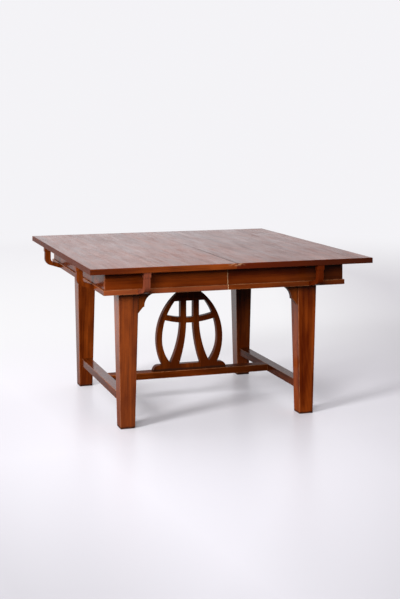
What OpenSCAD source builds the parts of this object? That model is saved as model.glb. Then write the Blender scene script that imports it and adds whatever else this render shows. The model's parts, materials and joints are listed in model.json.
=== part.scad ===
// Extending dining table: a fixed four-legged base with an oval fretted splat,
// and a top in two halves that slide apart along X.
// Origin: floor level, under the middle of the closed table. +Z is up, -Y is the front.

/* [Top] */
// Height of the table
table_h = 760; // [740:1:780]
// Length of the closed top, along the pull
top_len = 1330; // [1300:1:1360]
// Width of the top, along the seam
top_wid = 1420; // [1390:1:1450]
// Thickness of the top
top_t = 25; // [22:1:28]
// Gap left at the seam between the two halves
seam_gap = 0.5; // [0.4:0.1:1]

// Radius of the eased edges of the top
top_round = 3; // [1:0.5:5]

/* [Apron] */
// How far the top stands out past the apron at the ends
overhang_end = 94; // [88:1:100]
// How far the top stands out past the apron at the front and the back
overhang_side = 125; // [119:1:131]
// Height of the apron boards
apron_h = 87; // [82:1:92]
// Thickness of the apron boards
apron_t = 20; // [18:1:22]
// Thickness of the ledge under the apron
ledge_t = 23; // [21:1:26]
// How far the ledge stands out past the apron
ledge_out = 7; // [5:1:10]

/* [Brackets] */
// Width of a curved bracket
bracket_w = 26; // [22:1:30]
// Thickness of a bracket's upright part
bracket_t = 29; // [26:1:32]
// Thickness of a bracket's arm
bracket_arm_t = 20; // [18:0.5:20.5]
// Outer radius of the bend
bracket_bend = 34; // [32:1:38]
// Inner radius of the bend
bracket_bend_in = 20; // [12:1:22]
// How far the middle of the bend lies below the top
bracket_drop = 59; // [57:1:62]
// How far the brackets stand in from the edge of the top
bracket_inset = 8; // [4:1:14]
// Distance of the front and back brackets from the end of the apron
bracket_from_end = 162; // [120:1:190]
// Distance of the end brackets from the front or the back of the apron
bracket_from_side = 200; // [170:1:260]
// Height of the collar at the top of a bracket
collar_h = 22; // [14:1:26]
// How far the collar stands out
collar_out = 3; // [1:0.5:4]
// Length of the stub tenons into the top
bracket_stub = 10; // [6:1:12]

/* [Legs] */
// Side of the square foot of a leg
leg_foot_w = 68; // [60:1:72]
// Side of the square head of a leg
leg_head_w = 94; // [88:1:98]
// Distance of the leg axes from the ends of the apron
leg_from_end = 135; // [129:1:141]
// Distance of the leg axes from the front or the back of the apron
leg_from_side = 151; // [144:1:158]

/* [Base frame] */
// Gap between the base and the sliding top
top_gap = 2; // [1.5:0.5:3]
// Height of the frame rails
rail_h = 120; // [114:1:124]
// Thickness of the front and back rails
rail_t = 26; // [22:1:30]
// How far the front and back rails stand in from the leg faces
rail_inset = 10; // [6:1:14]
// Thickness of the side rails
side_rail_t = 28; // [26:1:32]
// Thickness of the spine that holds the splat
spine_t = 34; // [30:1:40]
// Height of the spine
spine_h = 60; // [50:1:64]
// Distance of the spine from the bottom of the frame rails
spine_rise = 27; // [22:1:30]

/* [Corbels] */
// Radius of the hollow under the rail
corbel_hollow = 58; // [52:1:62]
// Width of a corbel at its step
corbel_step_w = 29; // [25:1:32]
// Depth of the step
corbel_step = 5; // [4:1:8]
// Thickness of the tip under the rail
corbel_tip = 4; // [3:1:6]
// Height of the tail below the step
corbel_tail = 32; // [28:1:36]

/* [Stretchers] */
// Width of the side stretchers
side_stretcher_w = 50; // [46:1:56]
// Height of the side stretchers
side_stretcher_h = 36; // [32:1:40]
// Level of the upper faces of all the stretchers
stretcher_top = 146; // [138:1:155]
// Width of the centre stretcher
centre_stretcher_w = 64; // [58:1:70]
// Height of the centre stretcher
centre_stretcher_h = 33; // [30:1:34]

/* [Splat] */
// Thickness of the splat
splat_t = 31; // [28:1:34]
// Width of the oval
oval_w = 344; // [338:1:350]
// Height of the widest part of the oval above the stretcher
oval_rise = 156; // [150:1:162]
// Radius of the sides of the oval
oval_side_r = 290; // [285:1:300]
// Width of the ring at the widest part
ring_w = 28; // [26:1:32]
// Width of the two upright bars
bar_w = 30; // [26:1:32]
// Space between the two upright bars
bar_space = 37; // [34:1:40]
// Height of the middle of the cross band above the widest part
band_rise = 89.5; // [86:0.5:93]
// Height of the cross band
band_h = 27; // [24:1:30]
// Radius of the sag of the cross band
band_r = 455; // [420:5:500]
// Height of the solid cap above the widest part
cap_rise = 186; // [180:1:192]
// Height of the foot of the splat
splat_foot_h = 30; // [27:1:32]
// Length of the foot of the splat
splat_foot_len = 380; // [372:1:390]
// Width of the neck between the oval and the spine
neck_w = 120; // [100:1:130]

/* [Slides] */
// Travel of each half
travel = 300; // [200:10:300]
// Width of the fixed guide bars
guide_w = 44; // [42:1:50]
// Height of the fixed guide bars
guide_h = 50; // [46:1:54]
// How far the guide bars lie below the top of the base
guide_drop = 18; // [14:1:22]
// Distance of the guide bars from the leg axes
guide_from_leg = 184; // [176:1:194]
// Width of the runners
runner_w = 30; // [26:1:34]
// Height of the runners under their own half
runner_h = 62; // [56:1:64]
// How much lower the runners are under the other half
runner_relief = 6; // [4:1:8]
// Space between the end of a runner and the far side rail
runner_end_gap = 17; // [12:1:40]
// Height of the tongues on the runners
tongue_h = 12; // [10:1:14]
// Depth of the tongues
tongue_d = 9; // [7:1:9]
// Play between the runners and what guides them
slide_play = 0.5; // [0.4:0.1:1]

/* [Joinery and fixings] */
// Play round a tenon in its mortise
tenon_play = 0.15; // [0.1:0.05:0.3]
// Diameter of a screw shank
screw_d = 4.5; // [4:0.5:5]
// Diameter of a screw head
screw_head_d = 9; // [8:0.5:10]
// Diameter of the pins across the seam
pin_d = 10; // [8:0.5:12]
// Play of the seam pins in their sockets
pin_play = 0.5; // [0.4:0.1:0.8]
// Reach of the seam pins on each side of the seam
pin_reach = 20; // [15:1:25]
// Distance of the outer seam pins from the edges of the top
pin_from_side = 260; // [200:1:320]
// Side of the glue blocks
glue_block_w = 24; // [18:1:28]
// Length of the glue blocks
glue_block_len = 70; // [50:1:90]
// Distance of the first and the last glue block from the corner and from the seam
glue_block_end = 90; // [70:1:120]

/* [Hidden] */
$fn = 96;

// Levels
top_under = table_h - top_t;
apron_low = top_under - apron_h;
ledge_low = apron_low - ledge_t;
base_top = top_under - top_gap;
rail_low = base_top - rail_h;
spine_low = rail_low + spine_rise;
side_stretcher_low = stretcher_top - side_stretcher_h;
guide_low = base_top - guide_drop - guide_h;
guide_mid = guide_low + guide_h / 2;
runner_low = top_under - runner_h;

// Places of faces
apron_x = top_len / 2 - overhang_end;
apron_y = top_wid / 2 - overhang_side;
apron_in_x = apron_x - apron_t;
apron_in_y = apron_y - apron_t;
ledge_x = apron_x + ledge_out;
ledge_y = apron_y + ledge_out;
leg_place_x = apron_x - leg_from_end;
leg_place_y = apron_y - leg_from_side;
leg_half = leg_head_w / 2;
side_rail_in = leg_place_x - side_rail_t / 2;
frame_rail_out = leg_place_y + leg_half - rail_inset;
bracket_place_x = apron_x - bracket_from_end;
bracket_place_y = apron_y - bracket_from_side;
reach_front = overhang_side - bracket_inset - ledge_out;
reach_end = overhang_end - bracket_inset - ledge_out;
bracket_screw_z = ledge_low + ledge_t / 2 + 3;
half_gap = seam_gap / 2;
pin_places = [-top_wid / 2 + pin_from_side, 0, top_wid / 2 - pin_from_side];

// Tenons: the share of a piece that the tenon keeps, and its length
stub = 12;
tenon_len = 24;
rail_tenon_h = rail_h - 40;
rail_tenon_t = 12;

// The runners of the left half run outside the guide bars, those of the right half inside
guide_place = leg_place_y - guide_from_leg;
runner_mid_left = guide_place + guide_w / 2 + slide_play + runner_w / 2;
runner_mid_right = guide_place - guide_w / 2 - slide_play - runner_w / 2;
runner_reach = side_rail_in - runner_end_gap;
tongue_start = travel - side_rail_in + 10;
stop_len = 40;
stop_w = 22;
stop_h = 28;
stop_start = travel - side_rail_in + 1;
runner_screw_first = -apron_in_x + 44;
runner_screw_last = -50;
runner_screw_pitch = (runner_screw_last - runner_screw_first) / 3;
runner_screw_places = [for (i = [0:3]) runner_screw_first + i * runner_screw_pitch];
runner_screw_bore = 30;
screw_grip = 14;

// Oval of the splat: each side is an arc about a centre on the far side
oval_mid = stretcher_top + oval_rise;
band_mid = oval_mid + band_rise;
cap_level = oval_mid + cap_rise;
oval_centre = oval_w / 2 - oval_side_r;
ring_inner = oval_w / 2 - ring_w;
ring_upper_r = 300;
ring_lower_r = 185;
bar_in = bar_space / 2;
bar_out = bar_in + bar_w;
bar_bend_level = oval_mid + 98;
bar_outer_r = 480;
bar_inner_r = 690;
splat_tenon_w = 100;
splat_tenon_t = 14;
splat_tenon_h = 20;
splat_screw_places = [-110, 110];

wood = "#6b2a17";
wood_light = "#8a4526";
wood_dark = "#4c1d12";
wood_plain = "#a9764a";
steel = "#8f8f8c";

// A box given by its two opposite corners
module span(low, high) {
    translate(low)
        cube([high[0] - low[0], high[1] - low[1], high[2] - low[2]]);
}

// An outline drawn in the XZ plane, given a thickness along Y
module slab_xz(thick) {
    translate([0, thick / 2, 0])
        rotate([90, 0, 0])
            linear_extrude(height = thick)
                children();
}

// A round bar along X that starts at x and is len long
module bar_x(x, y, z, d, len) {
    translate([x, y, z])
        rotate([0, 90, 0])
            cylinder(d = d, h = len, $fn = 48);
}

// A round bar along Y that starts at y and is len long
module bar_y(x, y, z, d, len) {
    translate([x, y, z])
        rotate([-90, 0, 0])
            cylinder(d = d, h = len, $fn = 48);
}

// Puts a left piece in its place, or its mirror image on the right
module on_side(side) {
    if (side < 0) children();
    else mirror([1, 0, 0]) children();
}

// The same for the front and the back
module on_face(face) {
    if (face < 0) children();
    else mirror([0, 1, 0]) children();
}

// Legs

// Side view of a leg: straight at the head, where the rails join, tapered below
module leg_profile() {
    foot = leg_foot_w / 2;
    polygon([
        [-foot, 0], [foot, 0], [leg_half, rail_low],
        [leg_half, base_top], [-leg_half, base_top], [-leg_half, rail_low]
    ]);
}

// The whole leg of the front left corner, without its mortises
module leg_body() {
    translate([-leg_place_x, -leg_place_y, 0])
        intersection() {
            slab_xz(2 * leg_head_w)
                leg_profile();
            rotate([0, 0, 90])
                slab_xz(2 * leg_head_w)
                    leg_profile();
        }
}

module side_stretcher_tenon(play) {
    low = side_stretcher_low + 6 - play;
    high = stretcher_top - 6 + play;
    span([-leg_place_x - 14 - play, -leg_place_y, low], [-leg_place_x + 14 + play, -leg_place_y + 60, high]);
}

module front_rail_tenon(play) {
    mid = frame_rail_out - rail_t / 2;
    low = rail_low + 20 - play;
    high = rail_low + 20 + rail_tenon_h + play;
    start = -leg_place_x + leg_half - tenon_len - play;
    span([start, -mid - rail_tenon_t / 2 - play, low], [start + 60, -mid + rail_tenon_t / 2 + play, high]);
}

module side_rail_tenon(play) {
    low = rail_low + 20 - play;
    high = rail_low + 20 + rail_tenon_h + play;
    start = -leg_place_y + leg_half - tenon_len - play;
    half = rail_tenon_t / 2 + play;
    span([-leg_place_x - half, start, low], [-leg_place_x + half, start + 60, high]);
}

module leg() {
    color(wood)
        difference() {
            leg_body();
            side_stretcher_tenon(tenon_play);
            front_rail_tenon(tenon_play);
            side_rail_tenon(tenon_play);
        }
}

// Frame

// Front rail with a tenon at each end
module frame_rail_ends() {
    inner = leg_place_x - leg_half;
    color(wood_dark)
        union() {
            span([-inner, -frame_rail_out, rail_low], [inner, -frame_rail_out + rail_t, base_top]);
            for (side = [-1, 1])
                on_side(side)
                    intersection() {
                        front_rail_tenon(0);
                        span([-inner - tenon_len, -frame_rail_out, rail_low],
                             [-inner + 1, -frame_rail_out + rail_t, base_top]);
                    }
        }
}

// Side rail, drawn on the left: tenons at its ends, mortises for the guide bars and the spine,
// and notches for the runners of the half that slides over it
module frame_rail_side(side) {
    inner = leg_place_y - leg_half;
    color(wood_plain)
        difference() {
            union() {
                span([-leg_place_x - side_rail_t / 2, -inner, rail_low], [-side_rail_in, inner, base_top]);
                for (face = [-1, 1])
                    on_face(face)
                        intersection() {
                            side_rail_tenon(0);
                            span([-leg_place_x - 30, -inner - tenon_len, rail_low],
                                 [-leg_place_x + 30, -inner + 1, base_top]);
                        }
            }
            for (face = [-1, 1])
                on_face(face) {
                    guide_tenon(tenon_play);
                    runner_notch(side);
                }
            spine_tenon(tenon_play);
        }
}

// Way for a runner through the top edge of the side rail
module runner_notch(side) {
    low = runner_low - slide_play;
    half = runner_w / 2 + slide_play;
    mid = -runner_mid(side);
    span([-leg_place_x - 40, mid - half, low], [-leg_place_x + 40, mid + half, base_top + 1]);
}

module guide_tenon(play) {
    half = guide_w / 2 - 12 + play;
    low = guide_low + 10 - play;
    high = guide_low + guide_h - 10 + play;
    span([-side_rail_in - stub - play, -guide_place - half, low],
         [-side_rail_in + 1, -guide_place + half, high]);
}

module spine_tenon(play) {
    half = spine_t / 2 - 8 + play;
    low = spine_low + 10 - play;
    high = spine_low + spine_h - 10 + play;
    span([-side_rail_in - stub - play, -half, low], [-side_rail_in + 1, half, high]);
}

// Front guide bar with a groove on each side for the tongues of the runners
module guide_bar() {
    groove = tongue_d + 2 * slide_play;
    half_h = tongue_h / 2 + slide_play;
    color(wood_plain)
        difference() {
            union() {
                span([-side_rail_in, -guide_place - guide_w / 2, guide_low],
                     [side_rail_in, -guide_place + guide_w / 2, guide_low + guide_h]);
                for (side = [-1, 1])
                    on_side(side)
                        guide_tenon(0);
            }
            span([-side_rail_in - 1, -guide_place - guide_w / 2 - 1, guide_mid - half_h],
                 [side_rail_in + 1, -guide_place - guide_w / 2 + groove, guide_mid + half_h]);
            span([-side_rail_in - 1, -guide_place + guide_w / 2 - groove, guide_mid - half_h],
                 [side_rail_in + 1, -guide_place + guide_w / 2 + 1, guide_mid + half_h]);
        }
}

module spine() {
    color(wood_plain)
        difference() {
            union() {
                span([-side_rail_in, -spine_t / 2, spine_low], [side_rail_in, spine_t / 2, spine_low + spine_h]);
                for (side = [-1, 1])
                    on_side(side)
                        spine_tenon(0);
            }
            splat_tenon(tenon_play);
        }
}

// Corbel between the front left leg and the front rail
module corbel() {
    wall = -leg_place_x + leg_half;
    hollow_x = wall + corbel_step_w + corbel_hollow;
    hollow_z = rail_low - corbel_tip - corbel_hollow;
    step_z = hollow_z - 4;
    tail_w = corbel_step_w - corbel_step;
    back = wall - leg_half;
    color(wood)
        difference() {
            translate([0, -frame_rail_out + rail_t / 2, 0])
                slab_xz(rail_t)
                    difference() {
                        polygon([
                            [back, rail_low], [hollow_x, rail_low], [hollow_x, hollow_z],
                            [wall + corbel_step_w, hollow_z], [wall + corbel_step_w, step_z],
                            [wall + tail_w, step_z], [wall - 3, step_z - corbel_tail], [back, step_z - corbel_tail]
                        ]);
                        translate([hollow_x, hollow_z])
                            circle(r = corbel_hollow, $fn = 144);
                    }
            leg_body();
        }
}

// Stretchers

module side_stretcher() {
    half = side_stretcher_w / 2;
    color(wood)
        difference() {
            union() {
                difference() {
                    span([-leg_place_x - half, -leg_place_y, side_stretcher_low],
                         [-leg_place_x + half, leg_place_y, stretcher_top]);
                    leg_body();
                    mirror([0, 1, 0]) leg_body();
                }
                for (face = [-1, 1])
                    on_face(face)
                        intersection() {
                            side_stretcher_tenon(0);
                            span([-leg_place_x - 30, -leg_place_y + 8, 0],
                                 [-leg_place_x + 30, -leg_place_y + 45, 2 * stretcher_top]);
                        }
            }
            centre_stretcher_tenon(tenon_play);
        }
}

module centre_stretcher_tenon(play) {
    shoulder = -leg_place_x + side_stretcher_w / 2;
    half = centre_stretcher_w / 2 - 10 + play;
    low = stretcher_top - centre_stretcher_h + 8 - play;
    high = stretcher_top - 8 + play;
    span([shoulder - 20 - play, -half, low], [shoulder + 1, half, high]);
}

module centre_stretcher() {
    shoulder = leg_place_x - side_stretcher_w / 2;
    low = stretcher_top - centre_stretcher_h;
    half = centre_stretcher_w / 2;
    color(wood)
        difference() {
            union() {
                span([-shoulder, -half, low], [shoulder, half, stretcher_top]);
                for (side = [-1, 1])
                    on_side(side)
                        centre_stretcher_tenon(0);
            }
            for (x = splat_screw_places) {
                translate([x, 0, low - 1])
                    cylinder(d = screw_head_d + 1, h = 9, $fn = 48);
                translate([x, 0, low])
                    cylinder(d = screw_d + 0.4, h = centre_stretcher_h + 1, $fn = 48);
            }
        }
}

// Splat

// Disc in the splat's plane, about a centre at x and z
module disc(x, z, r) {
    translate([x, z])
        circle(r = r, $fn = 360);
}

// Rectangle in the splat's plane
module block(x0, z0, x1, z1) {
    translate([x0, z0])
        square([x1 - x0, z1 - z0]);
}

// Oval of two side arcs, with its foot and its neck, uncut
module splat_outline() {
    foot_top = stretcher_top + splat_foot_h;
    foot_end = splat_foot_len / 2;
    union() {
        intersection() {
            disc(oval_centre, oval_mid, oval_side_r);
            disc(-oval_centre, oval_mid, oval_side_r);
            block(-oval_w, foot_top - 2, oval_w, spine_low);
        }
        block(-foot_end + splat_foot_h, stretcher_top, foot_end - splat_foot_h, foot_top);
        for (s = [-1, 1])
            intersection() {
                disc(s * (foot_end - splat_foot_h), stretcher_top, splat_foot_h);
                block(-foot_end, stretcher_top, foot_end, foot_top);
            }
        block(-neck_w / 2, cap_level, neck_w / 2, spine_low);
    }
}

// Space inside the ring above the cross band and under the cap
module upper_openings() {
    arc_x = ring_inner - ring_upper_r;
    difference() {
        intersection() {
            disc(arc_x, oval_mid, ring_upper_r);
            disc(-arc_x, oval_mid, ring_upper_r);
            disc(0, band_mid + band_r, band_r - band_h / 2);
            block(-oval_w / 2, oval_mid, oval_w / 2, cap_level);
        }
        block(-bar_out, oval_mid, -bar_in, cap_level + 1);
        block(bar_in, oval_mid, bar_out, cap_level + 1);
    }
}

// Leaf-shaped space between the right bar and the ring, under the cross band
module leaf_opening() {
    difference() {
        intersection() {
            disc(bar_out + bar_outer_r, bar_bend_level, bar_outer_r);
            union() {
                intersection() {
                    disc(ring_inner - ring_upper_r, oval_mid, ring_upper_r);
                    block(0, oval_mid, oval_w, bar_bend_level + 20);
                }
                intersection() {
                    disc(ring_inner - ring_lower_r, oval_mid, ring_lower_r);
                    block(0, stretcher_top, oval_w, oval_mid);
                }
            }
        }
        disc(0, band_mid + band_r, band_r + band_h / 2);
    }
}

// Bell-shaped space between the bars, under the cross band
module bell_opening() {
    difference() {
        block(-oval_w / 4, stretcher_top + splat_foot_h, oval_w / 4, bar_bend_level);
        disc(bar_in + bar_inner_r, bar_bend_level, bar_inner_r);
        disc(-bar_in - bar_inner_r, bar_bend_level, bar_inner_r);
        disc(0, band_mid + band_r, band_r + band_h / 2);
    }
}

module splat_tenon(play) {
    half_w = splat_tenon_w / 2 + play;
    half_t = splat_tenon_t / 2 + play;
    span([-half_w, -half_t, spine_low - 1], [half_w, half_t, spine_low + splat_tenon_h + play]);
}

module fret_splat() {
    color(wood)
        difference() {
            union() {
                slab_xz(splat_t)
                    difference() {
                        splat_outline();
                        upper_openings();
                        leaf_opening();
                        mirror([1, 0]) leaf_opening();
                        bell_opening();
                    }
                splat_tenon(0);
            }
            for (x = splat_screw_places)
                translate([x, 0, stretcher_top - 1])
                    cylinder(d = screw_d, h = 24, $fn = 48);
        }
}

module splat_screws() {
    low = stretcher_top - centre_stretcher_h;
    color(steel)
        for (x = splat_screw_places)
            translate([x, 0, low + 4])
                union() {
                    cylinder(d = screw_head_d, h = 4, $fn = 48);
                    cylinder(d = screw_d, h = centre_stretcher_h + 16, $fn = 48);
                }
}

// Top halves: every piece is drawn for the left half

// Strip that rounds an edge along Y, for the outer edge at x = 0 and the upper face at z = 0
module edge_strip_y(len) {
    difference() {
        span([-1, -len / 2, -top_round], [top_round, len / 2, 1]);
        bar_y(top_round, -len / 2 - 1, -top_round, 2 * top_round, len + 2);
    }
}

// The same along X, for the front edge at y = 0
module edge_strip_x(len) {
    difference() {
        span([-1, -1, -top_round], [len, top_round, 1]);
        bar_x(-2, top_round, -top_round, 2 * top_round, len + 3);
    }
}

module top_panel(side) {
    edge = -top_len / 2;
    half_w = top_wid / 2;
    color(wood)
        difference() {
            span([edge, -half_w, top_under], [-half_gap, half_w, table_h]);
            translate([edge, 0, table_h])
                edge_strip_y(top_wid + 2);
            for (face = [-1, 1])
                on_face(face)
                    translate([edge, -half_w, table_h])
                        edge_strip_x(top_len / 2 + 1);
            for (face = [-1, 1])
                on_face(face) {
                    runner_screws_front(side, 0.1);
                    bracket_front_place() bracket_stub_shape(tenon_play);
                    bracket_end_place() bracket_stub_shape(tenon_play);
                }
            for (y = pin_places)
                if (side < 0) bar_x(-pin_reach - 2, y, top_under + top_t / 2, pin_d + 2 * pin_play, pin_reach + 10);
                else bar_x(-pin_reach, y, top_under + top_t / 2, pin_d, pin_reach + 10);
        }
}

module apron_front() {
    color(wood_dark)
        span([-apron_x, -apron_y, apron_low], [-half_gap, -apron_y + apron_t, top_under]);
}

module apron_end() {
    color(wood_dark)
        span([-apron_x, -apron_in_y, apron_low], [-apron_in_x, apron_in_y, top_under]);
}

// Front ledge, mitred at the corner of the table
module ledge_front() {
    color(wood_light)
        difference() {
            translate([0, 0, ledge_low])
                linear_extrude(height = ledge_t)
                    polygon([
                        [-ledge_x, -ledge_y], [-half_gap, -ledge_y],
                        [-half_gap, -apron_in_y], [-apron_in_x, -apron_in_y]
                    ]);
            bracket_front_place() bracket_screw_way(0.3);
        }
}

module ledge_end() {
    color(wood_light)
        difference() {
            translate([0, 0, ledge_low])
                linear_extrude(height = ledge_t)
                    polygon([
                        [-ledge_x, -ledge_y], [-apron_in_x, -apron_in_y],
                        [-apron_in_x, apron_in_y], [-ledge_x, ledge_y]
                    ]);
            for (face = [-1, 1])
                on_face(face)
                    bracket_end_place() bracket_screw_way(0.3);
        }
}

// Brackets: drawn with the ledge's face at x = 0 and the bracket reaching out along +X

// Quarter of a bend round a middle point, from the foot of the arm's slope to the upright
module bend_wedge(x, z, radius, slope) {
    far = 3 * radius;
    intersection() {
        disc(x, z, radius);
        polygon([
            [x, z], [x + far * sin(slope), z - far * cos(slope)],
            [x + far, z - far], [x + far, z]
        ]);
    }
}

// Each outline runs through its own wedge, so that the two overlap
module bracket_profile(reach) {
    bend_x = reach - bracket_bend;
    bend_z = top_under - bracket_drop;
    foot_z = ledge_low + 1;
    way = norm([bend_x, bend_z - foot_z]);
    slope = atan2(bend_z - foot_z, bend_x) - asin(bracket_bend / way);
    arm_top = foot_z + bracket_arm_t / cos(slope);
    inner_x = reach - bracket_t - bracket_bend_in;
    inner_z = arm_top + inner_x * tan(slope) + bracket_bend_in / cos(slope);
    difference() {
        union() {
            bend_wedge(bend_x, bend_z, bracket_bend, slope);
            polygon([
                [0, foot_z],
                [bend_x + bracket_bend * sin(slope), bend_z - bracket_bend * cos(slope)],
                [bend_x + bracket_bend / 2, bend_z - bracket_bend / 2],
                [reach, bend_z], [reach, top_under], [0, top_under]
            ]);
        }
        bend_wedge(inner_x, inner_z, bracket_bend_in, slope);
        polygon([
            [-1, arm_top - tan(slope)],
            [inner_x + bracket_bend_in * sin(slope), inner_z - bracket_bend_in * cos(slope)],
            [inner_x + bracket_bend_in / 2, inner_z - bracket_bend_in / 2],
            [reach - bracket_t, inner_z],
            [reach - bracket_t, top_under + 1], [-1, top_under + 1]
        ]);
    }
}

module bracket_stub_box(reach, play) {
    half = bracket_w / 2 - 6 + play;
    span([reach - bracket_t + 5 - play, -half, top_under - 1],
         [reach - 5 + play, half, top_under + bracket_stub + play]);
}

module bracket(reach) {
    collar_low = top_under - collar_h;
    color(wood_light)
        difference() {
            union() {
                slab_xz(bracket_w)
                    bracket_profile(reach);
                span([reach - bracket_t, -bracket_w / 2 - collar_out, collar_low],
                     [reach + collar_out, bracket_w / 2 + collar_out, top_under]);
                bracket_stub_box(reach, 0);
            }
            bracket_screw_way(0);
        }
}

// Stub tenon of a bracket; the reach comes from the place it is used in
module bracket_stub_shape(play) {
    bracket_stub_box($reach, play);
}

module bracket_front_place() {
    $reach = reach_front;
    translate([-bracket_place_x, -ledge_y, 0])
        rotate([0, 0, -90])
            children();
}

module bracket_end_place() {
    $reach = reach_end;
    translate([-ledge_x, -bracket_place_y, 0])
        rotate([0, 0, 180])
            children();
}

// Screw through the ledge into the foot of a bracket, above the middle because the arm slopes up
module bracket_screw_way(play) {
    inner = -ledge_out - apron_t;
    bar_x(inner - 1, 0, bracket_screw_z, screw_d + play, 1 - inner + 26);
}

module bracket_screw() {
    inner = -ledge_out - apron_t;
    color(steel)
        union() {
            bar_x(inner - 3, 0, bracket_screw_z, screw_head_d, 3);
            bar_x(inner - 1, 0, bracket_screw_z, screw_d, 1 - inner + 25);
        }
}

module bracket_screws() {
    for (face = [-1, 1])
        on_face(face) {
            bracket_front_place() bracket_screw();
            bracket_end_place() bracket_screw();
        }
}

// Runners: the left half's pair lies outside the guide bars, the right half's inside

function runner_mid(side) = side < 0 ? runner_mid_left : runner_mid_right;

// Front runner of a half, drawn on the left; the tongue faces the guide bar
module runner(side) {
    mid = -runner_mid(side);
    in_face = mid - side * runner_w / 2;
    tongue_end = in_face - side * tongue_d;
    color(wood_plain)
        difference() {
            union() {
                span([-apron_in_x, mid - runner_w / 2, runner_low], [-8, mid + runner_w / 2, top_under]);
                span([-8, mid - runner_w / 2, runner_low],
                     [runner_reach, mid + runner_w / 2, top_under - runner_relief]);
                span([tongue_start, min(in_face, tongue_end), guide_mid - tongue_h / 2],
                     [runner_reach, max(in_face, tongue_end), guide_mid + tongue_h / 2]);
            }
            runner_screws_front(side, 0.3);
            for (x = runner_screw_places)
                translate([x, mid, runner_low - 1])
                    cylinder(d = screw_head_d + 1, h = runner_screw_bore + 1, $fn = 48);
        }
}

// Screws of a front runner, or the way for them
module runner_screws_front(side, play) {
    for (x = runner_screw_places)
        translate([x, -runner_mid(side), runner_low + runner_screw_bore - 3])
            cylinder(d = screw_d + play, h = 3 + runner_h - runner_screw_bore + screw_grip + play, $fn = 48);
}

module runner_screws(side) {
    color(steel)
        for (face = [-1, 1])
            on_face(face)
                union() {
                    runner_screws_front(side, 0);
                    for (x = runner_screw_places)
                        translate([x, -runner_mid(side), runner_low + runner_screw_bore - 3])
                            cylinder(d = screw_head_d, h = 3, $fn = 48);
                }
}

// Stop blocks on the far side of the runners: they meet the side rail when the half is fully out
module runner_stops(side) {
    face_y = -runner_mid(side) + side * runner_w / 2;
    far_y = face_y + side * stop_w;
    color(wood_plain)
        for (face = [-1, 1])
            on_face(face)
                span([stop_start, min(face_y, far_y), runner_low + 12],
                     [stop_start + stop_len, max(face_y, far_y), runner_low + 12 + stop_h]);
}

// Blocks glued in the angle between the apron boards and the top
module glue_blocks() {
    half = glue_block_len / 2;
    low = top_under - glue_block_w;
    row = apron_in_x - 2 * glue_block_end;
    inner_y = (runner_mid_right - runner_w / 2) / 2;
    outer_y = (runner_mid_left + runner_w / 2 + apron_in_y) / 2;
    color(wood_plain)
        for (face = [-1, 1])
            on_face(face) {
                for (i = [0:2])
                    translate([-glue_block_end - i * row / 2, -apron_in_y, 0])
                        span([-half, 0, low], [half, glue_block_w, top_under]);
                for (y = [inner_y, outer_y])
                    translate([-apron_in_x, -y, 0])
                        span([0, -half, low], [glue_block_w, half, top_under]);
            }
}

// Pins glued into the right half; they enter sockets in the left half
module seam_pins() {
    color(wood_plain)
        for (y = pin_places)
            bar_x(-pin_reach + 2, y, top_under + top_t / 2, pin_d, 2 * pin_reach - 2);
}

leg();  // leg_front_left
on_side(1) leg();  // leg_front_right
on_face(1) leg();  // leg_back_left
on_side(1) on_face(1) leg();  // leg_back_right
frame_rail_ends();  // frame_rail_front
on_face(1) frame_rail_ends();  // frame_rail_back
frame_rail_side(-1);  // frame_rail_left
on_side(1) frame_rail_side(1);  // frame_rail_right
guide_bar();  // guide_bar_front
on_face(1) guide_bar();  // guide_bar_back
spine();
side_stretcher();  // side_stretcher_left
on_side(1) side_stretcher();  // side_stretcher_right
centre_stretcher();
fret_splat();
splat_screws();
corbel();  // corbel_front_left
on_side(1) corbel();  // corbel_front_right
on_face(1) corbel();  // corbel_back_left
on_side(1) on_face(1) corbel();  // corbel_back_right
top_panel(-1);  // top_panel_left
apron_front();  // apron_front_left
on_face(1) apron_front();  // apron_back_left
apron_end();  // apron_end_left
ledge_front();  // ledge_front_left
on_face(1) ledge_front();  // ledge_back_left
ledge_end();  // ledge_end_left
bracket_front_place() bracket(reach_front);  // bracket_front_left
on_face(1) bracket_front_place() bracket(reach_front);  // bracket_back_left
bracket_end_place() bracket(reach_end);  // bracket_end_left_front
on_face(1) bracket_end_place() bracket(reach_end);  // bracket_end_left_back
runner(-1);  // runner_front_left
on_face(1) runner(-1);  // runner_back_left
runner_stops(-1);  // runner_stops_left
glue_blocks();  // glue_blocks_left
runner_screws(-1);  // runner_screws_left
bracket_screws();  // bracket_screws_left
on_side(1) top_panel(1);  // top_panel_right
on_side(1) apron_front();  // apron_front_right
on_side(1) on_face(1) apron_front();  // apron_back_right
on_side(1) apron_end();  // apron_end_right
on_side(1) ledge_front();  // ledge_front_right
on_side(1) on_face(1) ledge_front();  // ledge_back_right
on_side(1) ledge_end();  // ledge_end_right
on_side(1) bracket_front_place() bracket(reach_front);  // bracket_front_right
on_side(1) on_face(1) bracket_front_place() bracket(reach_front);  // bracket_back_right
on_side(1) bracket_end_place() bracket(reach_end);  // bracket_end_right_front
on_side(1) on_face(1) bracket_end_place() bracket(reach_end);  // bracket_end_right_back
on_side(1) runner(1);  // runner_front_right
on_side(1) on_face(1) runner(1);  // runner_back_right
on_side(1) runner_stops(1);  // runner_stops_right
on_side(1) glue_blocks();  // glue_blocks_right
on_side(1) runner_screws(1);  // runner_screws_right
on_side(1) bracket_screws();  // bracket_screws_right
seam_pins();
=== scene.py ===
"""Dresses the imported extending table: eased arrises, polished mahogany, slotted screws, pale studio and camera."""

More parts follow.
